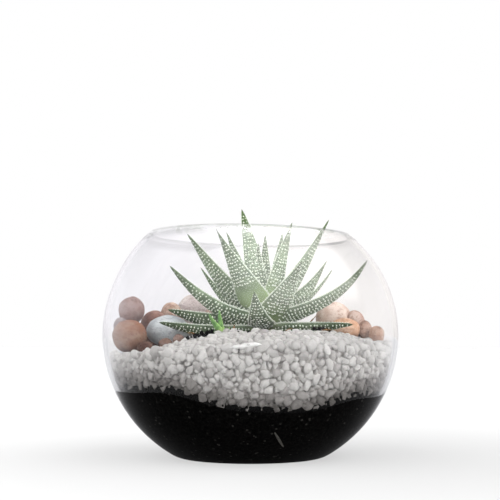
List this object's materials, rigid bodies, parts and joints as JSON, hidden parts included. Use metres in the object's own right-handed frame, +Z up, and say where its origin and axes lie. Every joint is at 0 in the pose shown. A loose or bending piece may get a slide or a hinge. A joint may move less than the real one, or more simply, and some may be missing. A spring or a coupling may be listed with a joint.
{
  "type": "glass plant terrarium",
  "caption": "Clear glass bubble bowl holding dark soil, pale gravel, rounded pebbles and a pointed, white-dotted succulent rosette.",
  "frame": {"origin": "middle of the bowl's flat base", "axes": "+Z up, +X to the right, front towards -Y"},
  "size_m": [0.15, 0.15, 0.1275],
  "materials": {
    "glass": "clear, polished",
    "soil": "matt, damp potting soil",
    "gravel": "dry crushed stone",
    "pebble_terracotta": "worn, matt",
    "pebble_grey_mauve": "worn, matt",
    "pebble_mauve_brown": "worn, matt",
    "pebble_brown": "worn, matt",
    "pebble_pink_tan": "worn, matt",
    "pebble_pale_grey": "worn, matt",
    "pebble_pinkish": "worn, matt",
    "pebble_blue_grey": "worn, matt",
    "pebble_dark_brown": "worn, matt",
    "pebble_small_tan": "worn, matt",
    "pebble_small_rose": "worn, matt",
    "pebble_pale_pink": "worn, matt",
    "pebble_tan_grey": "worn, matt",
    "pebble_orange": "worn, matt",
    "pebble_small_orange": "worn, matt",
    "pebble_edge_tan": "worn, matt",
    "stem": "fleshy, matt",
    "leaf": "fleshy living leaf, satin",
    "young_leaf": "fleshy young leaf, satin",
    "dry_leaf": "dry, papery"
  },
  "bodies": {
    "root": {"bowl": "glass", "soil": "soil", "gravel": "gravel", "pebble_terracotta": "pebble_terracotta", "pebble_grey_mauve": "pebble_grey_mauve", "pebble_mauve_brown": "pebble_mauve_brown", "pebble_brown": "pebble_brown", "pebble_pink_tan": "pebble_pink_tan", "pebble_pale_grey": "pebble_pale_grey", "pebble_pinkish": "pebble_pinkish", "pebble_blue_grey": "pebble_blue_grey", "pebble_dark_brown": "pebble_dark_brown", "pebble_small_tan": "pebble_small_tan", "pebble_small_rose": "pebble_small_rose", "pebble_pale_pink": "pebble_pale_pink", "pebble_tan_grey": "pebble_tan_grey", "pebble_orange": "pebble_orange", "pebble_small_orange": "pebble_small_orange", "pebble_edge_tan": "pebble_edge_tan", "stem": "stem", "leaf_heart_back": "leaf", "leaf_tall": "leaf", "leaf_heart_right": "leaf", "leaf_back_a": "leaf", "leaf_back_b": "leaf", "leaf_left_inner": "leaf", "leaf_front_left": "leaf", "leaf_right_upper": "leaf", "leaf_front_right": "leaf", "leaf_back_right": "leaf", "leaf_back_left": "leaf", "leaf_rear": "leaf", "leaf_left_small": "leaf", "leaf_right_thin": "leaf", "leaf_front": "leaf", "leaf_left_long": "leaf", "leaf_right_long": "leaf", "leaf_rear_left": "leaf", "leaf_rear_right": "leaf", "leaf_left_low": "leaf", "leaf_left_lowest": "leaf", "leaf_right_low": "leaf", "offset_shoot": "young_leaf", "dry_leaf_left": "dry_leaf", "dry_leaf_shoot": "dry_leaf", "dry_leaf_front": "dry_leaf", "dry_leaf_right": "dry_leaf", "dry_leaf_low": "dry_leaf"}
  },
  "joints": []
}
